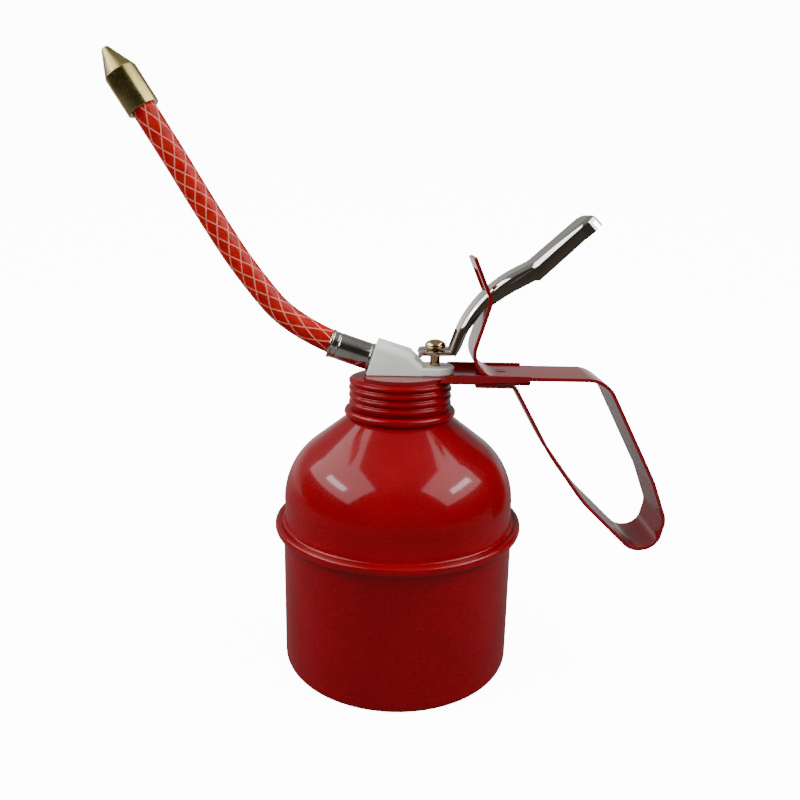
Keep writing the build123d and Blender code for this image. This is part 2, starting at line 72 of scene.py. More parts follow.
# %% [markdown]
# ## The spout hose
# A braided oil hose is one smooth bend from its sleeve to its nozzle. Few control
# points make a calm curve, so the line is a NURBS spline of order 3 on six points.
# The tube round it comes from the curve's own bevel, which also lays out a UV map
# with one axis along the hose and one round it, ready for the braid.

# %% Hose line
hose_points = [
    (-0.01070, 0, 0.10899),
    (-0.03462, 0, 0.11694),
    (-0.0515, 0, 0.1369),
    (-0.0645, 0, 0.1578),
    (-0.0750, 0, 0.1756),
    (-0.0846, 0, 0.1909),
]
hose_radius = 4.0

hose_curve = bpy.data.curves.new("hose", "CURVE")
hose_curve.dimensions = "3D"
hose_spline = hose_curve.splines.new("NURBS")
hose_spline.points.add(len(hose_points) - 1)
for point, place in zip(hose_spline.points, hose_points):
    point.co = (*place, 1)
hose_spline.order_u = 3
hose_spline.use_endpoint_u = True
hose_spline.resolution_u = 40
hose_line = bpy.data.objects.new("hose_line", hose_curve)
bpy.context.scene.collection.objects.link(hose_line)
centre_mesh = bpy.data.meshes.new_from_object(hose_line)
hose_path = [v.co.copy() for v in centre_mesh.vertices]
hose_length = sum((b - a).length for a, b in zip(hose_path, hose_path[1:]))
print("hose line", len(hose_path), "points,", round(hose_length * 1000, 1), "mm")

# %% Hose tube
hose_curve.bevel_depth = hose_radius / 1000
hose_curve.bevel_resolution = 10
hose_mesh = bpy.data.meshes.new_from_object(hose_line)
hose_mesh.name = "hose_tube"
bpy.data.objects.remove(hose_line)
print("hose tube", len(hose_mesh.vertices), "vertices")

# %% [markdown]
# ## Helpers for the shop floor
# Most parts here are turned or bent from sheet. Their sections are written in
# millimetres as corners with a radius for each, like a drawing, and one helper
# turns that into points. Another closes a mesh: it merges doubles, points the
# faces outwards, scales to metres and ties the piece to its body.

# %% Rounded outlines
def rounded(corners, radii, closed=True, turn_step=9.0):
    """Corners and a radius for each, as a list of points with arcs in place of corners."""
    count = len(corners)
    points = []
    for i, (corner, radius) in enumerate(zip(corners, radii)):
        here = Vector(corner)
        if radius <= 0 or (not closed and i in (0, count - 1)):
            points.append(here)
            continue
        before = (Vector(corners[i - 1]) - here).normalized()
        after = (Vector(corners[(i + 1) % count]) - here).normalized()
        turn = pi - before.angle(after)
        reach = radius * tan(turn / 2)
        middle = here + (before + after).normalized() * sqrt(radius**2 + reach**2)
        start = here + before * reach - middle
        steps = max(2, round(turn / radians(turn_step)))
        way = 1 if before.x * after.y - before.y * after.x < 0 else -1
        for k in range(steps + 1):
            angle = way * turn * k / steps
            points.append(middle + Matrix.Rotation(angle, 2) @ start)
    return points


# %% Turning on a lathe
def wire(points, closed):
    """A mesh with one line of edges in the plane y = 0."""
    bm = bmesh.new()
    verts = [bm.verts.new((x, 0, z)) for x, z in points]
    for a, b in zip(verts, verts[1:]):
        bm.edges.new((a, b))
    if closed:
        bm.edges.new((verts[-1], verts[0]))
    return bm


def turned(points, steps=128):
    """A closed outline of radius and height spun a full turn about the Z axis."""
    bm = wire(points, closed=True)
    bmesh.ops.spin(
        bm,
        geom=bm.verts[:] + bm.edges[:],
        cent=(0, 0, 0),
        axis=(0, 0, 1),
        angle=2 * pi,
        steps=steps,
        use_merge=True,
    )
    return bm


# %% Closing a piece
def show(mesh, name, material, body, nodes, sharp=32.0):
    """Hang a finished mesh on its body in place of its CAD nodes."""
    obj = bpy.data.objects.new(name, mesh)
    bpy.context.scene.collection.objects.link(obj)
    mesh.polygons.foreach_set("use_smooth", [True] * len(mesh.polygons))
    mesh.set_sharp_from_angle(angle=radians(sharp))
    mesh.materials.clear()
    mesh.materials.append(material)
    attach(obj, body)
    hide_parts(*nodes)
    print(name, len(mesh.polygons), "faces")
    return obj


def finish(bm, name, material, body, nodes, place=None, sharp=32.0):
    """Merge, orient, place and scale a mesh made in millimetres."""
    bmesh.ops.remove_doubles(bm, verts=bm.verts, dist=0.0005)
    bmesh.ops.dissolve_degenerate(bm, edges=bm.edges, dist=0.0005)
    bmesh.ops.recalc_face_normals(bm, faces=bm.faces)
    if place is not None:
        bmesh.ops.transform(bm, matrix=place, verts=bm.verts)
    bmesh.ops.scale(bm, vec=(0.001, 0.001, 0.001), verts=bm.verts)
    mesh = bpy.data.meshes.new(name)
    bm.to_mesh(mesh)
    bm.free()
    return show(mesh, name, material, body, nodes, sharp)


def soften(obj, width, segments=3, angle=30.0):
    """A small rounding on every edge that turns more than the angle."""
    bevel = obj.modifiers.new("edge_rounding", "BEVEL")
    bevel.width = width / 1000
    bevel.segments = segments
    bevel.harden_normals = True
    bevel.limit_method = "ANGLE"
    bevel.angle_limit = radians(angle)


def thicken(obj, sheet, offset=0.0):
    """Give a surface the thickness of its sheet metal."""
    wall = obj.modifiers.new("sheet", "SOLIDIFY")
    wall.thickness = sheet / 1000
    wall.offset = offset
    wall.use_even_offset = True


# %% [markdown]
# ## Finishes
# Every finish is a node network on the piece's own coordinates, in metres. A
# shared helper starts it and another adds noise in a chosen grain. Values that
# are the same all over, such as the coat, are set on the shader's own sockets.

# %% Material helpers
def new_finish(name):
    material = bpy.data.materials.new(name)
    material.use_nodes = True
    shader = material.node_tree.nodes["Principled BSDF"]
    return material, material.node_tree, shader


def put(tree, kind, **settings):
    """A node with its properties set by name and its inputs by a dictionary."""
    node = tree.nodes.new(kind)
    inputs = settings.pop("inputs", {})
    for key, value in settings.items():
        setattr(node, key, value)
    for key, value in inputs.items():
        if hasattr(value, "is_output"):
            tree.links.new(value, node.inputs[key])
        else:
            node.inputs[key].default_value = value
    return node


def grain(tree, where, scale, detail):
    """Soft noise with about this many waves to the metre."""
    noise = put(tree, "ShaderNodeTexNoise", inputs={"Vector": where, "Scale": scale, "Detail": detail})
    return noise.outputs["Fac"]


def ramp(tree, value, stops):
    """A colour ramp from a list of (position, colour)."""
    node = put(tree, "ShaderNodeValToRGB", inputs={"Fac": value})
    marks = node.color_ramp.elements
    marks[0].position, marks[0].color = stops[0][0], (*stops[0][1], 1)
    marks[1].position, marks[1].color = stops[-1][0], (*stops[-1][1], 1)
    for position, colour in stops[1:-1]:
        marks.new(position).color = (*colour, 1)
    return node.outputs["Color"]


def spread(tree, value, low, high, start=0.0, end=1.0):
    """Map a value from one range to another."""
    node = put(
        tree,
        "ShaderNodeMapRange",
        inputs={"Value": value, "From Min": start, "From Max": end, "To Min": low, "To Max": high},
    )
    return node.outputs["Result"]


def blend(tree, factor, first, second):
    """Mix two colours."""
    node = tree.nodes.new("ShaderNodeMix")
    node.data_type = "RGBA"
    for key, value in (("Factor", factor), ("A", first), ("B", second)):
        socket = [s for s in node.inputs if s.name == key and s.enabled][0]
        if hasattr(value, "is_output"):
            tree.links.new(value, socket)
        elif key == "Factor":
            socket.default_value = value
        else:
            socket.default_value = (*value, 1)
    return [s for s in node.outputs if s.enabled][0]


def relief(tree, shader, height, strength, depth):
    """Bump in metres of depth."""
    bump = put(
        tree,
        "ShaderNodeBump",
        inputs={"Strength": strength, "Distance": depth, "Height": height},
    )
    tree.links.new(bump.outputs["Normal"], shader.inputs["Normal"])


# %% [markdown]
# ### Red enamel
# Stoved enamel on tinplate is deep red under a hard gloss. It isn't quite flat:
# a fine orange peel breaks the reflections, a few pale specks stand both as dust and
# as painted glints, and the colour is a little uneven. The coat carries the gloss,
# so the base beneath it can stay rougher, which is how paint really reflects.

# %% Enamel
def enamel(name, deep, bright, coat, coat_rough):
    material, tree, shader = new_finish(name)
    where = put(tree, "ShaderNodeTexCoord").outputs["Object"]
    tone = grain(tree, where, 60.0, 4.0)
    paint = ramp(tree, tone, [(0.3, deep), (0.7, bright)])
    # pale specks at random: dust, and painted glints that stand for small sparkles of light on the enamel
    dust_and_glint_cells = put(
        tree,
        "ShaderNodeTexVoronoi",
        inputs={"Vector": where, "Scale": 110.0},
    ).outputs["Distance"]
    dust_and_glint_speck = spread(tree, dust_and_glint_cells, 1.0, 0.0, 0.018, 0.03)
    rarely = spread(tree, grain(tree, where, 24.0, 1.0), 0.0, 1.0, 0.6, 0.64)
    dust_and_glint_spot = put(tree, "ShaderNodeMath", operation="MULTIPLY", inputs={0: dust_and_glint_speck, 1: rarely})
    colour = blend(tree, dust_and_glint_spot.outputs[0], paint, (0.30, 0.09, 0.08))
    tree.links.new(colour, shader.inputs["Base Color"])
    peel = grain(tree, where, 900.0, 2.0)
    wave = grain(tree, where, 90.0, 2.0)
    surface = put(tree, "ShaderNodeMath", operation="MULTIPLY_ADD", inputs={0: wave, 1: 2.0, 2: peel})
    relief(tree, shader, surface.outputs[0], 0.10, 0.00012)
    tree.links.new(spread(tree, tone, 0.28, 0.42), shader.inputs["Roughness"])
    shader.inputs["Coat Weight"].default_value = coat
    shader.inputs["Coat Roughness"].default_value = coat_rough
    shader.inputs["Coat IOR"].default_value = 1.5
    shader.inputs["Specular IOR Level"].default_value = 0.04
    return material


can_enamel = enamel("can_enamel", (0.160, 0.0003, 0.0026), (0.195, 0.0006, 0.0042), 0.38, 0.10)
handle_enamel = enamel("handle_enamel", (0.135, 0.0003, 0.0022), (0.170, 0.0006, 0.0036), 0.80, 0.10)
print("enamels", can_enamel.name, handle_enamel.name)

# %% [markdown]
# ### Plated and turned metals
# Bright chrome shows its surroundings and little else, so its life comes from
# slight ripples and faint hairline scratches in the roughness. Turned brass
# carries rings round its axis. The helper takes a direction for the rings, so one
# network serves a part at any angle.

# %% Metals
def metal(name, dark, light, smooth, rough, ripple=0.05, grain_scale=40.0):
    material, tree, shader = new_finish(name)
    where = put(tree, "ShaderNodeTexCoord").outputs["Object"]
    cloud = grain(tree, where, grain_scale, 4.0)
    tree.links.new(ramp(tree, cloud, [(0.3, dark), (0.7, light)]), shader.inputs["Base Color"])
    stretched = put(
        tree,
        "ShaderNodeMapping",
        inputs={"Vector": where, "Rotation": (0, radians(-40), 0), "Scale": (1, 14, 1)},
    ).outputs["Vector"]
    scratch = grain(tree, stretched, 500.0, 2.0)
    smudge = put(tree, "ShaderNodeMath", operation="MULTIPLY", inputs={0: scratch, 1: cloud})
    tree.links.new(spread(tree, smudge.outputs[0], smooth, rough, 0.1, 0.5), shader.inputs["Roughness"])
    shader.inputs["Metallic"].default_value = 1.0
    relief(tree, shader, grain(tree, where, 120.0, 2.0), ripple, 0.0002)
    return material


def turned_metal(name, dark, light, axis_tilt, ring_size, smooth, rough, depth):
    """Metal with turning rings across an axis tilted in the XZ plane."""
    material, tree, shader = new_finish(name)
    where = put(tree, "ShaderNodeTexCoord").outputs["Object"]
    along = put(
        tree,
        "ShaderNodeMapping",
        inputs={"Vector": where, "Rotation": (0, axis_tilt, 0)},
    ).outputs["Vector"]
    rings = put(
        tree,
        "ShaderNodeTexWave",
        wave_type="BANDS",
        bands_direction="Z",
        inputs={
            "Vector": along,
            "Scale": 0.314 / ring_size,
            "Distortion": 0.6,
            "Detail": 2.0,
            "Detail Scale": 1.5,
        },
    ).outputs["Fac"]
    cloud = grain(tree, where, 150.0, 5.0)
    both = put(tree, "ShaderNodeMath", operation="MULTIPLY", inputs={0: rings, 1: cloud}).outputs[0]
    tree.links.new(ramp(tree, cloud, [(0.3, dark), (0.7, light)]), shader.inputs["Base Color"])
    tree.links.new(spread(tree, both, smooth, rough, 0.0, 0.6), shader.inputs["Roughness"])
    shader.inputs["Metallic"].default_value = 1.0
    relief(tree, shader, rings, 0.35, depth)
    return material


spout_rise = 18.4
spout_tilt = radians(spout_rise - 90)
nozzle_tilt = atan2(0.5315, 0.8471)
chrome = metal("chrome", (0.48, 0.46, 0.40), (0.62, 0.60, 0.53), 0.03, 0.10)
gilt = metal("gilt", (0.50, 0.34, 0.16), (0.66, 0.47, 0.25), 0.06, 0.16)
zinc = metal("zinc", (0.40, 0.41, 0.43), (0.55, 0.56, 0.58), 0.25, 0.45)
nickel = turned_metal(
    "nickel",
    dark=(0.42, 0.41, 0.36),
    light=(0.60, 0.59, 0.54),
    axis_tilt=spout_tilt,
    ring_size=0.00016,
    smooth=0.05,
    rough=0.12,
    depth=0.000004,
)
brass = turned_metal(
    "brass",
    dark=(0.26, 0.20, 0.06),
    light=(0.46, 0.37, 0.14),
    axis_tilt=nozzle_tilt,
    ring_size=0.00022,
    smooth=0.14,
    rough=0.30,
    depth=0.000012,
)
inner_brass = turned_metal(
    "inner_brass",
    dark=(0.42, 0.32, 0.12),
    light=(0.58, 0.46, 0.2),
    axis_tilt=0.0,
    ring_size=0.0003,
    smooth=0.25,
    rough=0.4,
    depth=0.00001,
)
print("metals made")

# %% [markdown]
# ### Nylon and rubber
# Moulded nylon is milky: light goes a little way in. A weak subsurface term gives
# that softness, and a broad low bump stands for the mould's texture. Rubber is
# dark, rough and faintly dusty.

# %% Plastics
def nylon():
    material, tree, shader = new_finish("nylon")
    where = put(tree, "ShaderNodeTexCoord").outputs["Object"]
    cloud = grain(tree, where, 70.0, 4.0)
    milky = ramp(tree, cloud, [(0.3, (0.58, 0.61, 0.57)), (0.7, (0.68, 0.71, 0.67))])
    tree.links.new(milky, shader.inputs["Base Color"])
    tree.links.new(spread(tree, cloud, 0.34, 0.5), shader.inputs["Roughness"])
    shader.inputs["Subsurface Weight"].default_value = 0.25
    shader.inputs["Subsurface Radius"].default_value = (1.0, 0.95, 0.9)
    shader.inputs["Subsurface Scale"].default_value = 0.0015
    relief(tree, shader, grain(tree, where, 700.0, 3.0), 0.12, 0.00008)
    return material


def rubber():
    material, tree, shader = new_finish("rubber")
    where = put(tree, "ShaderNodeTexCoord").outputs["Object"]
    cloud = grain(tree, where, 200.0, 4.0)
    dusty = ramp(tree, cloud, [(0.3, (0.02, 0.02, 0.02)), (0.7, (0.05, 0.05, 0.048))])
    tree.links.new(dusty, shader.inputs["Base Color"])
    tree.links.new(spread(tree, cloud, 0.6, 0.8), shader.inputs["Roughness"])
    relief(tree, shader, grain(tree, where, 1200.0, 3.0), 0.2, 0.00005)
    return material


white_nylon = nylon()
black_rubber = rubber()
print("plastics made")

# %% [markdown]
# ### The braided hose
# The red core shows through a clear layer, with a pale yarn crossing over it both
# ways. Six yarns run each way and one yarn takes 46 mm for a full turn. On the
# UV map that is plain arithmetic: the count of yarns times the share of a turn,
# plus or minus the length, gives whole numbers along each yarn. Toward the edges,
# where the hose is seen at a low angle, Layer Weight mixes a darker red into the
# colour as painted edge shade.

# %% Hose finish
def braid(length, yarns=6, lead=0.046, yarn_share=0.10):
    material, tree, shader = new_finish("braided_hose")
    uv = put(tree, "ShaderNodeUVMap", uv_map="UVMap").outputs["UV"]
    parts = put(tree, "ShaderNodeSeparateXYZ", inputs={"Vector": uv})
    along, around = parts.outputs["X"], parts.outputs["Y"]
    crossings = yarns * length / lead
    turns = put(tree, "ShaderNodeMath", operation="MULTIPLY", inputs={0: along, 1: crossings}).outputs[0]
    share = put(tree, "ShaderNodeMath", operation="MULTIPLY", inputs={0: around, 1: float(yarns)}).outputs[0]
    covers = []
    for way in ("ADD", "SUBTRACT"):
        phase = put(tree, "ShaderNodeMath", operation=way, inputs={0: share, 1: turns}).outputs[0]
        saw = put(tree, "ShaderNodeMath", operation="PINGPONG", inputs={0: phase, 1: 0.5}).outputs[0]
        covers.append(spread(tree, saw, 1.0, 0.0, yarn_share * 0.30, yarn_share * 0.75))
    yarn = put(tree, "ShaderNodeMath", operation="MAXIMUM", inputs={0: covers[0], 1: covers[1]}).outputs[0]
    where = put(tree, "ShaderNodeTexCoord").outputs["Object"]
    fray = spread(tree, grain(tree, where, 1500.0, 3.0), 0.55, 1.0, 0.35, 0.65)
    cover = put(tree, "ShaderNodeMath", operation="MULTIPLY", inputs={0: yarn, 1: fray}).outputs[0]
    depths = grain(tree, where, 260.0, 4.0)
    core = ramp(tree, depths, [(0.3, (0.26, 0.003, 0.002)), (0.7, (0.40, 0.006, 0.004))])
    colour = blend(tree, cover, core, (0.66, 0.24, 0.17))
    # painted edge shade: a darker red mixed into the colour toward the hose's edges, by view angle
    edge = put(tree, "ShaderNodeLayerWeight", inputs={"Blend": 0.22}).outputs["Facing"]
    painted_edge_shade = spread(tree, edge, 0.0, 0.22, 0.6, 1.0)
    colour = blend(tree, painted_edge_shade, colour, (0.34, 0.03, 0.025))
    tree.links.new(colour, shader.inputs["Base Color"])
    tree.links.new(spread(tree, cover, 0.32, 0.5), shader.inputs["Roughness"])
    relief(tree, shader, yarn, 0.2, 0.00006)
    shader.inputs["Coat Weight"].default_value = 0.15
    shader.inputs["Coat Roughness"].default_value = 0.2
    shader.inputs["Specular IOR Level"].default_value = 0.05
    return material


hose_finish = braid(hose_length)
hose = show(hose_mesh, "hose_tube", hose_finish, "head", ["hose"])
print("braid on", round(hose_length * 1000, 1), "mm")

# %% [markdown]
# ## The lower can
# It is a deep-drawn cup: a flat base with two shallow stiffening rings, a rounded
# corner and a straight wall that runs up inside the rolled seam. A drawn cup is
# round, so its section is spun on the lathe helper. The wall keeps its 0.6 mm.

# %% Lower can
wall = 0.6
can_radius = 40.0
seam_height = 51.0
seam_radius = 42.9
cup_outline = rounded(
    [
        (0, 0.35),
        (20.0, 0.35),
        (21.0, 0),
        (30.5, 0),
        (31.5, 0.35),
        (32.8, 0.35),
        (33.8, 0),
        (can_radius, 0),
        (can_radius, seam_height - 0.6),
        (seam_radius - 0.8, seam_height - 0.6),
        (seam_radius - 0.8, seam_height),
        (can_radius - wall, seam_height),
        (can_radius - wall, wall + 0.35),
        (0, wall + 0.35),
    ],
    [0, 0.8, 0.8, 0.8, 0.6, 0.6, 0.8, 2.6, 0.2, 0.1, 0.1, 0.2, 2.0, 0],
)
finish(turned(cup_outline), "lower_can_shell", can_enamel, "can", ["lower_can"])

# %% [markdown]
# ## The upper dome
# The upper half is spun metal: a short wall, a round shoulder and a cone up to the
# neck. Its lip is rolled over the lower rim. That folded seam stands proud as a
# bead with a fine line under it where the metal ends.

# %% Upper dome
dome_radius = 39.5
shoulder_height, shoulder_radius, shoulder_turn = 60.0, 24.0, radians(52.0)
shoulder_middle = dome_radius - shoulder_radius
neck_radius = 17.2


def shoulder_line(inset, steps=26):
    """The dome's wall from its foot to the neck, set in by a distance."""
    radius = shoulder_radius - inset
    arc = [
        (
            shoulder_middle + radius * cos(shoulder_turn * k / steps),
            shoulder_height + radius * sin(shoulder_turn * k / steps),
        )
        for k in range(steps + 1)
    ]
    x, z = arc[-1]
    run = (x - neck_radius) / sin(shoulder_turn)
    arc.append((neck_radius, z + run * cos(shoulder_turn)))
    return arc


bead_outline = rounded(
    [
        (dome_radius - wall, seam_height + 0.02),
        (seam_radius - 0.78, seam_height + 0.02),
        (seam_radius - 0.78, seam_height - 0.62),
        (can_radius + 0.02, seam_height - 0.62),
        (can_radius + 0.02, seam_height - 1.45),
        (seam_radius - 0.35, seam_height - 1.45),
        (seam_radius, seam_height - 0.4),
        (seam_radius - 0.1, seam_height + 1.2),
        (seam_radius - 1.5, seam_height + 1.55),
        (dome_radius + 0.55, seam_height + 1.1),
        (dome_radius, seam_height + 2.2),
    ],
    [0, 0.1, 0.1, 0, 0.35, 0.6, 1.2, 1.0, 0.9, 0.7, 1.6],
    closed=False,
)
dome_outline = [tuple(p) for p in bead_outline] + shoulder_line(0) + shoulder_line(wall)[::-1]
finish(turned(dome_outline), "upper_dome_shell", can_enamel, "can", ["upper_dome"])

# %% [markdown]
# ## The neck
# The neck is a sleeve with a rolled bead at its foot. Its thread shows only when
# the cap is unscrewed. A screw thread is a spin that climbs: the same operator
# with a rise for each step.

# %% Neck
neck_outline = rounded(
    [
        (15.3, 87.8),
        (15.75, 87.8),
        (15.75, 89.3),
        (19.0, 89.3),
        (19.0, 91.9),
        (15.75, 91.9),
        (15.75, 100.2),
        (15.3, 100.2),
    ],
    [0, 0, 0.3, 1.25, 1.25, 0.4, 0.15, 0.15],
)
neck = turned(neck_outline)
thread_pitch, thread_turns, thread_steps = 2.5, 2.4, 180
thread = wire([(15.7, 92.9), (16.0, 93.2), (16.0, 93.5), (15.7, 93.8)], closed=True)
bmesh.ops.contextual_create(thread, geom=thread.edges)
bmesh.ops.spin(
    thread,
    geom=thread.verts[:] + thread.edges[:] + thread.faces[:],
    cent=(0, 0, 0),
    axis=(0, 0, 1),
    dvec=(0, 0, thread_pitch * thread_turns / thread_steps),
    angle=2 * pi * thread_turns,
    steps=thread_steps,
)
thread_mesh = bpy.data.meshes.new("thread")
thread.to_mesh(thread_mesh)
thread.free()
neck.from_mesh(thread_mesh)
finish(neck, "neck_sleeve", can_enamel, "can", ["threaded_neck"])

# %% [markdown]
# ## The screw cap
# A pressed cap has a flat top, a rounded corner and a skirt with rolled ridges
# that are the outside of its thread. Each ridge is a soft wave, not a fin, so the
# outline goes in and out at the thread's pitch with a radius at every corner.

# %% Screw cap
cap_radius, cap_bottom, cap_top = 16.9, 92.25, 102.3
crest, valley = cap_radius + 0.55, cap_radius - 0.25
skirt, skirt_radii = [(cap_radius - 0.1, cap_bottom)], [0.1]
for turn in range(4):
    middle = cap_bottom + 1.5 + thread_pitch * turn
    skirt += [(valley, middle - 1.1), (crest, middle - 0.45), (crest, middle + 0.45), (valley, middle + 1.1)]
    skirt_radii += [0.5, 0.6, 0.6, 0.5]
skirt[-1], skirt_radii[-1] = (cap_radius - 0.9, cap_top), 1.2
cap_outline = rounded(
    skirt
    + [
        (0, cap_top),
        (0, cap_top - wall),
        (cap_radius - wall, cap_top - wall),
        (cap_radius - wall, cap_bottom),
    ],
    skirt_radii + [0, 0, 0.4, 0.1],
)
finish(turned(cap_outline), "cap_shell", can_enamel, "head", ["screw_cap"])

# %% [markdown]
# ## The bracket
# The bracket is stamped: a round pad on the cap, an arm, and two sides folded up
# along the arm. It is drawn as one flat surface, its side edges are extruded
# upwards, the folds are rounded with a bevel, and Solidify gives the 1.4 mm sheet.

# %% Bracket
sheet = 1.4
floor_middle = cap_top + sheet / 2
pad_radius, pad_cut = 15.6, -11.8
half_width = 12.1 - sheet / 2
arm_end, ramp_start, ramp_end, side_top = 42.0, 13.0, 17.0, 105.5
bracket = bmesh.new()
first = atan2(half_width, sqrt(pad_radius**2 - half_width**2))
last = atan2(sqrt(pad_radius**2 - pad_cut**2), pad_cut)
arc_steps = 26
pad_arc = [first + (last - first) * k / arc_steps for k in range(arc_steps + 1)]
half = [(arm_end, half_width), (ramp_end, half_width), (ramp_start, half_width)]
half += [(pad_radius * cos(a), pad_radius * sin(a)) for a in pad_arc]
outline = half + [(x, -y) for x, y in reversed(half)]
bracket.faces.new([bracket.verts.new((x, y, floor_middle)) for x, y in outline])
sides = [
    e
    for e in bracket.edges
    if min(v.co.x for v in e.verts) > ramp_start - 0.01 and abs(e.verts[0].co.y - e.verts[1].co.y) < 0.01
]
raised = bmesh.ops.extrude_edge_only(bracket, edges=sides)
for v in [g for g in raised["geom"] if isinstance(g, bmesh.types.BMVert)]:
    v.co.z = side_top if v.co.x > ramp_start + 0.1 else floor_middle + 0.5
folds = [
    e
    for e in bracket.edges
    if e.is_manifold and all(abs(v.co.z - floor_middle) < 0.01 for v in e.verts)
]
bmesh.ops.bevel(
    bracket, geom=folds, offset=1.0, segments=5, profile=0.5, affect="EDGES", material=-1
)
bracket_arm = finish(bracket, "bracket_arm", handle_enamel, "head", ["bracket"])
thicken(bracket_arm, sheet)
soften(bracket_arm, 0.35, 3, 40.0)

# %% [markdown]
# ## The handle strap
# One strip of 21 by 1.2 mm steel makes the upright, the grip and the tail. Its
# middle line is a chain of bends. The line is extruded to the strip's width, cut
# by planes where the lever's window lies, and the window's faces are taken out.

# %% Handle strap
strap_sheet, strap_width = 1.2, 21.0
top_line, tail_line = 104.3, 101.7
strap_corners = [
    (22.8, 142.7),
    (28.6, 129.2),
    (21.1, top_line),
    (67.2, top_line),
    (85.6, 69.6),
    (90.7, 56.2),
    (88.6, 46.3),
    (80.3, 45.2),
    (62.5, 62.2),
    (50.0, 79.2),
    (37.3, tail_line),
    (24.5, tail_line),
]
strap_radii = [0, 6.0, 8.0, 10.0, 30.0, 7.0, 6.5, 6.5, 40.0, 60.0, 2.4, 0]
strap = wire(rounded(strap_corners, strap_radii, closed=False, turn_step=2.0), closed=False)
bmesh.ops.translate(strap, vec=(0, -strap_width / 2, 0), verts=strap.verts)
swept = bmesh.ops.extrude_edge_only(strap, edges=strap.edges[:])
bmesh.ops.translate(
    strap,
    vec=(0, strap_width, 0),
    verts=[g for g in swept["geom"] if isinstance(g, bmesh.types.BMVert)],
)
window_low, window_high, window_half = 127.0, 139.1, 8.0


def cut(bm, place, normal):
    """Add a line of edges where a plane crosses the mesh."""
    bmesh.ops.bisect_plane(
        bm, geom=bm.verts[:] + bm.edges[:] + bm.faces[:], dist=0.0001, plane_co=place, plane_no=normal
    )


cut(strap, (0, window_half, 0), (0, 1, 0))
cut(strap, (0, -window_half, 0), (0, 1, 0))
cut(strap, (0, 0, window_low), (0, 0, 1))
cut(strap, (0, 0, window_high), (0, 0, 1))
window = [
    f
    for f in strap.faces
    if window_low < f.calc_center_median().z < window_high and abs(f.calc_center_median().y) < window_half
]
bmesh.ops.delete(strap, geom=window, context="FACES")
tip_corners = [v for v in strap.verts if v.co.z > 142.6 and abs(v.co.y) > window_half + 0.1]
bmesh.ops.bevel(strap, geom=tip_corners, offset=1.2, segments=4, profile=0.5, affect="VERTICES", material=-1)
handle_strap = finish(strap, "handle_strip", handle_enamel, "head", ["handle_strap"])
thicken(handle_strap, strap_sheet)
soften(handle_strap, 0.22, 2, 50.0)

# %% [markdown]
# ## The rivet
# A low round rivet head holds strap, bracket and tail. It is turned on its own
# axis and set in place by a move.

# %% Rivet
rivet_place = 33.8
rivet_outline = rounded(
    [
        (0, 100.62),
        (2.1, 100.62),
        (2.1, 101.1),
        (1.4, 101.1),
        (1.4, 104.9),
        (2.1, 104.9),
        (1.7, 105.02),
        (0, 105.1),
    ],
    [0, 0.35, 0, 0, 0, 0.1, 0.6, 0],
)
finish(
    turned(rivet_outline, 48),
    "rivet_head",
    handle_enamel,
    "head",
    ["strap_rivet"],
    Matrix.Translation((rivet_place, 0, 0)),
)

# %% [markdown]
# ## The pump body
# The white body is a moulding with a square nose face and a low boss for the rod.
# The nose's side view is extruded across, its two long top edges get a large
# rounding and the rest a small one. The boss is drawn in plan, with a half circle
# round the rod, and extruded upwards.

# %% Pump body
rod_place = 11.5
spout_angle = radians(spout_rise)
spout_out = Vector((-cos(spout_angle), 0, sin(spout_angle)))
spout_root = Vector((rod_place, 0, 101.6))
body_base = cap_top + sheet
body_face = spout_root + spout_out * 22.4
face_up = Vector((sin(spout_angle), 0, cos(spout_angle)))
nose_top = body_face + face_up * 6.5
nose_foot = body_face - face_up * ((body_face.z - body_base) / face_up.z)
body_half = 6.8
boss_top = body_base + 2.7


def prism(points, low, high):
    """A side view extruded from one y to another."""
    bm = bmesh.new()
    face = bm.faces.new([bm.verts.new((x, low, z)) for x, z in points])
    side = bmesh.ops.extrude_face_region(bm, geom=[face])
    bmesh.ops.translate(
        bm, vec=(0, high - low, 0), verts=[g for g in side["geom"] if isinstance(g, bmesh.types.BMVert)]
    )
    bmesh.ops.recalc_face_normals(bm, faces=bm.faces)
    return bm


nose = prism(
    [
        (nose_foot.x, body_base),
        (nose_top.x, nose_top.z),
        (3.4, body_base + 7.7),
        (7.6, boss_top + 0.6),
        (7.6, body_base),
    ],
    -body_half,
    body_half,
)
crest = [
    e
    for e in nose.edges
    if min(v.co.z for v in e.verts) > boss_top + 0.5 and abs(e.verts[0].co.y - e.verts[1].co.y) < 0.01
]
bmesh.ops.bevel(nose, geom=crest, offset=2.8, segments=8, profile=0.5, affect="EDGES", material=-1)
pump_nose = finish(nose, "pump_nose", white_nylon, "head", ["pump_body"])
soften(pump_nose, 0.5, 3, 35.0)
boss_radius, boss_back = 6.6, 6.0
boss_steps = 48
boss = bmesh.new()
end_angles = [radians(-90 + 180 * k / boss_steps) for k in range(boss_steps + 1)]
plan = [(boss_back, -boss_radius)]
plan += [(rod_place + boss_radius * cos(a), boss_radius * sin(a)) for a in end_angles]
plan += [(boss_back, boss_radius)]
floor_face = boss.faces.new([boss.verts.new((x, y, body_base)) for x, y in plan])
grown = bmesh.ops.extrude_face_region(boss, geom=[floor_face])
raised_rim = [g for g in grown["geom"] if isinstance(g, bmesh.types.BMVert)]
bmesh.ops.translate(boss, vec=(0, 0, boss_top - body_base), verts=raised_rim)
bmesh.ops.recalc_face_normals(boss, faces=boss.faces)
pump_boss = finish(boss, "pump_boss", white_nylon, "head", ["pump_body"])
soften(pump_boss, 0.6, 3, 40.0)

# %% [markdown]
# ## The plunger's rod
# The rod ends in a gilt head like a flattened ball, which the lever's fork lifts.
# It is turned in one with a short neck.

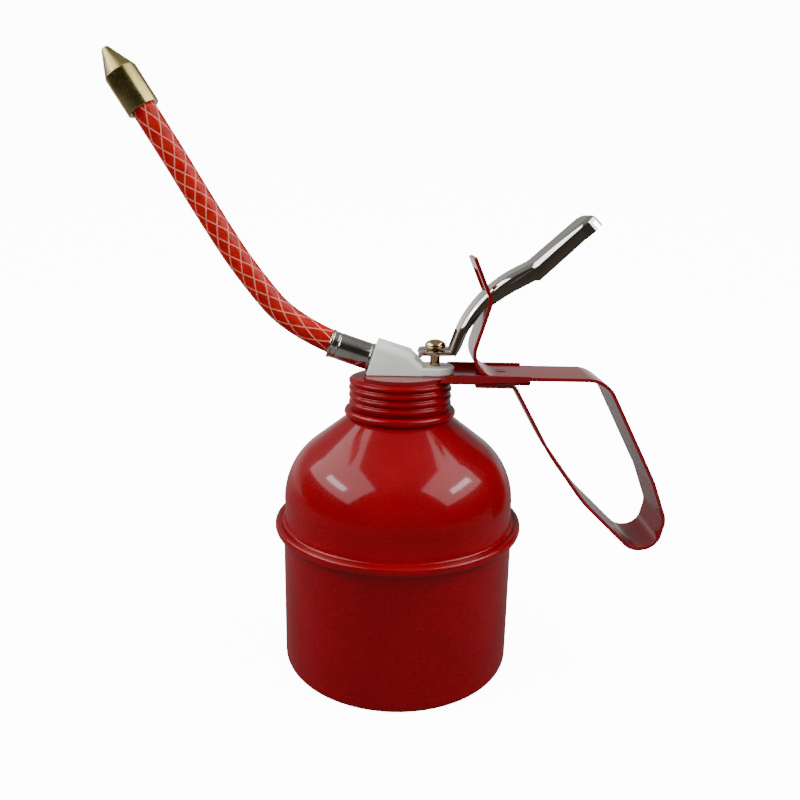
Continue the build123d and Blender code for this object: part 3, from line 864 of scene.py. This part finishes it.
# %% Rod and head
head_middle, head_radius, head_rise, head_drop = 113.1, 3.6, 2.1, 1.3
ball = [
    (head_radius * cos(radians(a)), head_middle + (head_rise if a > 0 else head_drop) * sin(radians(a)))
    for a in range(-58, 91, 4)
]
rod_outline = [(0, 66.0), (1.1, 66.0), (1.1, 95.5), (1.7, 95.5), (1.7, head_middle - 1.35)] + ball[1:]
finish(
    turned(rod_outline, 96),
    "plunger_rod",
    gilt,
    "plunger",
    ["piston_rod"],
    Matrix.Translation((rod_place, 0, 0)),
)

# %% [markdown]
# ## The thumb lever
# The lever is pressed from strip into a channel that is open below: a top with two
# sides, a forked foot under the rod's head, a kink and a wider thumb pad with a
# closed nose. Its side view, with the bends already round, is extruded across,
# the underside is taken away, and one bevel rounds the two long folds.

# %% Lever channel
lever_sheet, lever_half, pad_half = 1.2, 7.5, 8.5
fork_top, fork_left, fork_heel = 111.9, 5.6, 16.1
nose_corner = (62.9, 153.8)
top_corners = [
    (fork_heel, fork_top),
    (20.9, 126.0),
    (33.0, 136.9),
    (41.6, 141.4),
    (59.3, 157.4),
    nose_corner,
]
top_radii = [0, 38.6, 40.6, 8.0, 2.6, 0]
under = [
    (60.4, 151.9),
    (43.6, 135.9),
    (42.4, 135.9),
    (34.7, 131.6),
    (28.2, 127.1),
    (26.9, 126.9),
    (21.6, 119.2),
    (19.4, 113.4),
    (17.8, 110.7),
]
under_radii = [0.8, 0.8, 0.8, 30.0, 2.0, 1.2, 10.0, 8.0, 0]
top_path = rounded(top_corners, top_radii, closed=False, turn_step=2.5)
under_path = rounded(under, under_radii, closed=False)
lever = prism([tuple(p) for p in top_path + under_path], -lever_half, lever_half)
top_points = {(round(p[0], 3), round(p[1], 3)) for p in top_path}


def on_top(vert):
    return (round(vert.co.x, 3), round(vert.co.z, 3)) in top_points


def is_side(face):
    return abs(face.normal.y) > 0.9


underside = [f for f in lever.faces if not is_side(f) and not all(on_top(v) for v in f.verts)]
bmesh.ops.delete(lever, geom=underside, context="FACES")
folds = [
    e
    for e in lever.edges
    if e.is_manifold and abs(e.verts[0].co.y - e.verts[1].co.y) < 0.01 and all(on_top(v) for v in e.verts)
]
bmesh.ops.bevel(lever, geom=folds, offset=1.9, segments=6, profile=0.5, affect="EDGES", material=-1)
print("lever channel", len(lever.faces), "faces")

# %% Fork
foot = [
    e
    for e in lever.edges
    if e.is_boundary and all(v.co.z < fork_top + 0.02 and v.co.x < fork_heel + 0.4 for v in e.verts)
]
for step in ((fork_left + 1.3 - fork_heel, 0, 0), (-1.0, 0, -0.45), (-0.3, 0, -1.1)):
    grown = bmesh.ops.extrude_edge_only(lever, edges=foot)
    moved = [g for g in grown["geom"] if isinstance(g, bmesh.types.BMVert)]
    bmesh.ops.translate(lever, vec=step, verts=moved)
    new_edges = [g for g in grown["geom"] if isinstance(g, bmesh.types.BMEdge)]
    foot = [e for e in new_edges if all(v in moved for v in e.verts)]
slot_half, keyhole_half, keyhole_top = 2.1, 4.2, 118.6
for side in (slot_half, keyhole_half):
    cut(lever, (0, side, 0), (0, 1, 0))
    cut(lever, (0, -side, 0), (0, 1, 0))
cut(lever, (rod_place, 0, 0), (1, 0, 0))
cut(lever, (0, 0, keyhole_top), (0, 0, 1))


def in_slot(face):
    middle = face.calc_center_median()
    if middle.x < rod_place:
        return abs(middle.y) < slot_half
    return abs(middle.y) < keyhole_half and fork_top + 0.05 < middle.z < keyhole_top or (
        abs(middle.y) < slot_half and middle.z <= fork_top + 0.05
    )


bmesh.ops.delete(lever, geom=[f for f in lever.faces if in_slot(f)], context="FACES")

# %% Pad and kink
kink_start, kink_end = 40.6, 43.8
kink_lean, kink_height = 0.25, 138.5
pinch_middle, pinch_reach, pinch_share = 42.2, 1.3, 0.13
pinch_side, pinch_top = 6.5, 139.6
for x in (kink_start, 41.6, 42.4, 43.0, kink_end, 46.0):
    cut(lever, (x, 0, 0), (1, 0, -kink_lean))
for v in lever.verts:
    across = v.co.x - kink_lean * (v.co.z - kink_height)
    share = min(max((across - kink_start) / (kink_end - kink_start), 0), 1)
    share = share * share * (3 - 2 * share)
    v.co.y *= 1 + share * (pad_half / lever_half - 1)
    nearness = max(0, 1 - abs(across - pinch_middle) / pinch_reach)
    if abs(v.co.y) > pinch_side and v.co.z < pinch_top:
        v.co.y *= 1 - pinch_share * nearness

# %% [markdown]
# ### The lever's nose
# The nose is round in plan: the farther a point lies from the middle, the more
# it's drawn back along the pad. Cuts beside the middle line, closer together
# towards the sides, give it the points for that.

# %% Nose
pad_line = Vector((17.7, 0, 16.0)).normalized()
nose_end = Vector((nose_corner[0], 0, nose_corner[1])).dot(pad_line)
nose_round, nose_reach, full_reach = 5.0, 11.0, 8.0
pad_middle = 50.0
cut_offsets = (3.5, 4.6, 5.6, 6.4, 7.1, 7.7, 8.15)
for offset in cut_offsets:
    for side in (-offset, offset):
        tip = [f for f in lever.faces if f.calc_center_median().x > pad_middle]
        around = {v for f in tip for v in f.verts} | {e for f in tip for e in f.edges}
        bmesh.ops.bisect_plane(
            lever, geom=list(around) + tip, dist=0.0001, plane_co=(0, side, 0), plane_no=(0, 1, 0)
        )
for v in lever.verts:
    along = v.co.dot(pad_line) - (nose_end - nose_reach)
    aside = max(0, abs(v.co.y) - (pad_half - nose_round))
    if v.co.x > pad_middle and along > 0:
        drawn = nose_round - sqrt(max(nose_round**2 - aside**2, 0))
        v.co -= pad_line * drawn * min(along / full_reach, 1)
thumb_lever = finish(lever, "thumb_lever", chrome, "lever", ["lever"], sharp=40.0)
thicken(thumb_lever, lever_sheet, -1.0)
soften(thumb_lever, 0.18, 2, 50.0)

# %% [markdown]
# ## Sleeve and stub
# The hose is crimped in a nickel sleeve with a rolled lip at its mouth, and the
# stub behind it shows as a thin flange against the pump body. Both are turned
# about Z and laid along the spout's line by one matrix.

# %% Sleeve
spout_turn = Vector((0, 0, 1)).rotation_difference(spout_out).to_matrix().to_4x4()
along_spout = Matrix.Translation(spout_root) @ spout_turn
sleeve_start, sleeve_length, sleeve_radius = 23.4, 13.8, 4.6
sleeve_end = sleeve_start + sleeve_length
sleeve_outline = rounded(
    [
        (4.0, sleeve_start),
        (sleeve_radius, sleeve_start),
        (sleeve_radius, sleeve_end - 3.3),
        (sleeve_radius - 0.14, sleeve_end - 3.1),
        (sleeve_radius - 0.14, sleeve_end - 2.7),
        (sleeve_radius, sleeve_end - 2.5),
        (sleeve_radius, sleeve_end - 1.0),
        (sleeve_radius + 0.3, sleeve_end - 0.8),
        (sleeve_radius + 0.3, sleeve_end),
        (4.0, sleeve_end),
    ],
    [0, 0.25, 0.1, 0.1, 0.1, 0.1, 0.1, 0.3, 0.35, 0.1],
)
finish(
    turned(sleeve_outline), "crimp_sleeve", nickel, "head", ["ferrule"], along_spout
)
stub_outline = rounded(
    [(1.2, 22.4), (4.8, 22.4), (4.8, 23.4), (2.5, 23.4), (2.5, 35.4), (1.2, 35.4)],
    [0, 0.3, 0.3, 0, 0.2, 0],
)
finish(
    turned(stub_outline, 96), "stub_flange", nickel, "head", ["hose_spigot"], along_spout
)

# %% [markdown]
# ## The nozzle
# The brass nozzle is turned: a cylinder over the hose, a sharp shoulder and a cone
# that the tool left in fine steps. The steps are cut into the outline, so light
# catches each one.

# %% Nozzle
nozzle_radius, nozzle_foot, shoulder, tip, tip_radius = 5.3, -6.0, 6.6, 14.6, 1.15
cone_steps = 11
cone, cone_radii = [], []
for k in range(cone_steps):
    share = k / cone_steps
    radius = nozzle_radius - 0.25 + (tip_radius - nozzle_radius + 0.25) * share
    height = shoulder + (tip - shoulder) * share
    cone += [(radius, height), (radius - 0.10, height + 0.62 * (tip - shoulder) / cone_steps)]
    cone_radii += [0.05, 0.04]
nozzle_outline = rounded(
    [(4.0, nozzle_foot), (nozzle_radius, nozzle_foot), (nozzle_radius, shoulder - 0.25)]
    + cone
    + [(tip_radius, tip), (0.7, tip), (0.7, tip - 4.0), (1.2, tip - 5.0)]
    + [(1.2, -5.5), (2.5, -5.5), (2.5, 0), (4.0, 0)],
    [0.1, 0.3, 0.08] + cone_radii + [0.12, 0.05, 0, 0, 0, 0, 0, 0],
)
nozzle_out = Vector((-0.5315, 0, 0.8471)).normalized()
at_nozzle = (
    Matrix.Translation(Vector(hose_points[-1]) * 1000)
    @ Vector((0, 0, 1)).rotation_difference(nozzle_out).to_matrix().to_4x4()
)
nozzle = finish(
    turned(nozzle_outline), "brass_nozzle", brass, "head", ["nozzle"], at_nozzle, sharp=20.0
)

# %% [markdown]
# ## What stays hidden
# The pump's inner parts keep their CAD meshes. They only need their finishes,
# because they show in a section or when the pump is taken apart.

# %% Inner parts
inner_finishes = {
    "cap_gasket": black_rubber,
    "rod_seal": black_rubber,
    "piston_cup": black_rubber,
    "seal_washer": zinc,
    "seat_screws": zinc,
    "ball_stop": zinc,
    "foot_ball": chrome,
    "suction_tube": zinc,
    "return_spring": zinc,
    "strainer": inner_brass,
    "pump_barrel": inner_brass,
    "foot_valve": inner_brass,
    "piston": inner_brass,
}
for name, material in inner_finishes.items():
    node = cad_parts[name]
    node.data.materials.clear()
    node.data.materials.append(material)
print("inner parts", len(inner_finishes))

# %% [markdown]
# ## Stage and light
# A white sweep runs under and behind the object. Two soft boxes hang above it to
# the left and right and draw the two pale windows on the shoulder. A wide light in
# front fills the shade and leaves no reflection. The sweep and the world are bright
# white where the camera sees them directly. They light the object and show in it
# as a much dimmer room, which keeps the enamel deep and the chrome dark.

# %% Stage
def seen_only(tree):
    """1 where the camera looks straight at a surface, 0 for light on its way."""
    return put(tree, "ShaderNodeLightPath").outputs["Is Camera Ray"]


def plain(name, shade, glow):
    """A matt white that the camera sees bright and that lights the object only a little."""
    material, tree, shader = new_finish(name)
    where = put(tree, "ShaderNodeTexCoord").outputs["Object"]
    seen = seen_only(tree)
    tone = spread(tree, grain(tree, where, 3.0, 2.0), 0.98, 1.0, 0.3, 0.7)
    level = spread(tree, seen, shade, 0.93)
    white = put(tree, "ShaderNodeMath", operation="MULTIPLY", inputs={0: tone, 1: level}).outputs[0]
    tree.links.new(white, shader.inputs["Base Color"])
    shader.inputs["Roughness"].default_value = 0.9
    shader.inputs["Specular IOR Level"].default_value = 0.1
    shader.inputs["Emission Color"].default_value = (1, 1, 1, 1)
    depth = put(tree, "ShaderNodeSeparateXYZ", inputs={"Vector": where}).outputs["Y"]
    far = spread(tree, depth, 0.0, 0.9, 0.15, 0.9)
    rise = put(tree, "ShaderNodeSeparateXYZ", inputs={"Vector": where}).outputs["Z"]
    dimming = spread(tree, rise, 1.0, 0.35, 0.1, 0.5)
    far = put(tree, "ShaderNodeMath", operation="MULTIPLY", inputs={0: far, 1: dimming}).outputs[0]
    total = put(tree, "ShaderNodeMath", operation="MULTIPLY_ADD", inputs={0: seen, 1: glow, 2: far})
    tree.links.new(total.outputs[0], shader.inputs["Emission Strength"])
    return material


sweep_line = rounded([(-3.0, 0), (2.2, 0), (2.2, 3.0)], [0, 1.2, 0], closed=False, turn_step=5.0)
sweep = bmesh.new()
line = [sweep.verts.new((-4.0, y, z - 0.00005)) for y, z in sweep_line]
edges = [sweep.edges.new(pair) for pair in zip(line, line[1:])]
wide = bmesh.ops.extrude_edge_only(sweep, edges=edges)
bmesh.ops.translate(
    sweep, vec=(8.0, 0, 0), verts=[g for g in wide["geom"] if isinstance(g, bmesh.types.BMVert)]
)
bmesh.ops.recalc_face_normals(sweep, faces=sweep.faces)
sweep_mesh = bpy.data.meshes.new("backdrop")
sweep.to_mesh(sweep_mesh)
sweep.free()
sweep_mesh.polygons.foreach_set("use_smooth", [True] * len(sweep_mesh.polygons))
backdrop = bpy.data.objects.new("backdrop", sweep_mesh)
bpy.context.scene.collection.objects.link(backdrop)
sweep_mesh.materials.append(plain("backdrop_white", 0.13, 12.0))


# %% Lights
def soft_box(name, place, aim, size, power):
    data = bpy.data.lights.new(name, "AREA")
    data.shape = "RECTANGLE"
    data.size, data.size_y = size
    data.energy = power
    light = bpy.data.objects.new(name, data)
    light.location = place
    light.rotation_euler = (Vector(aim) - Vector(place)).to_track_quat("-Z", "Y").to_euler()
    bpy.context.scene.collection.objects.link(light)
    return light


shoulder_aim = (0, 0, 0.07)
for side in (-1, 1):
    soft_box(f"window_{side}", (0.56 * side, -0.05, 0.60), shoulder_aim, (1.05, 0.56), 9.4)
    soft_box(f"core_{side}", (0.58 * side, -0.12, 0.50), shoulder_aim, (0.34, 0.08), 1.9)
front_fill = soft_box("front_fill", (0, -1.1, 0.25), (0, 0, 0.03), (1.4, 0.5), 6.2)
front_fill.visible_glossy = False

world = bpy.data.worlds.new("studio")
bpy.context.scene.world = world
world.use_nodes = True
sky = world.node_tree
room = sky.nodes["Background"]
direction = put(sky, "ShaderNodeTexCoord").outputs["Generated"]
height = put(sky, "ShaderNodeSeparateXYZ", inputs={"Vector": direction}).outputs["Z"]
walls = ramp(
    sky,
    spread(sky, height, 0.0, 1.0, -1.0, 1.0),
    [
        (0.45, (0.10, 0.08, 0.06)),
        (0.56, (0.05, 0.045, 0.04)),
        (0.8, (0.05, 0.045, 0.042)),
        (0.97, (0.35, 0.35, 0.35)),
    ],
)
sky.links.new(walls, room.inputs["Color"])
beyond = put(sky, "ShaderNodeBackground", inputs={"Color": (1, 1, 1, 1), "Strength": 7.0})
both = put(sky, "ShaderNodeMixShader", inputs={0: seen_only(sky)})
sky.links.new(room.outputs[0], both.inputs[1])
sky.links.new(beyond.outputs[0], both.inputs[2])
sky.links.new(both.outputs[0], sky.nodes["World Output"].inputs["Surface"])
print("lights and world ready")
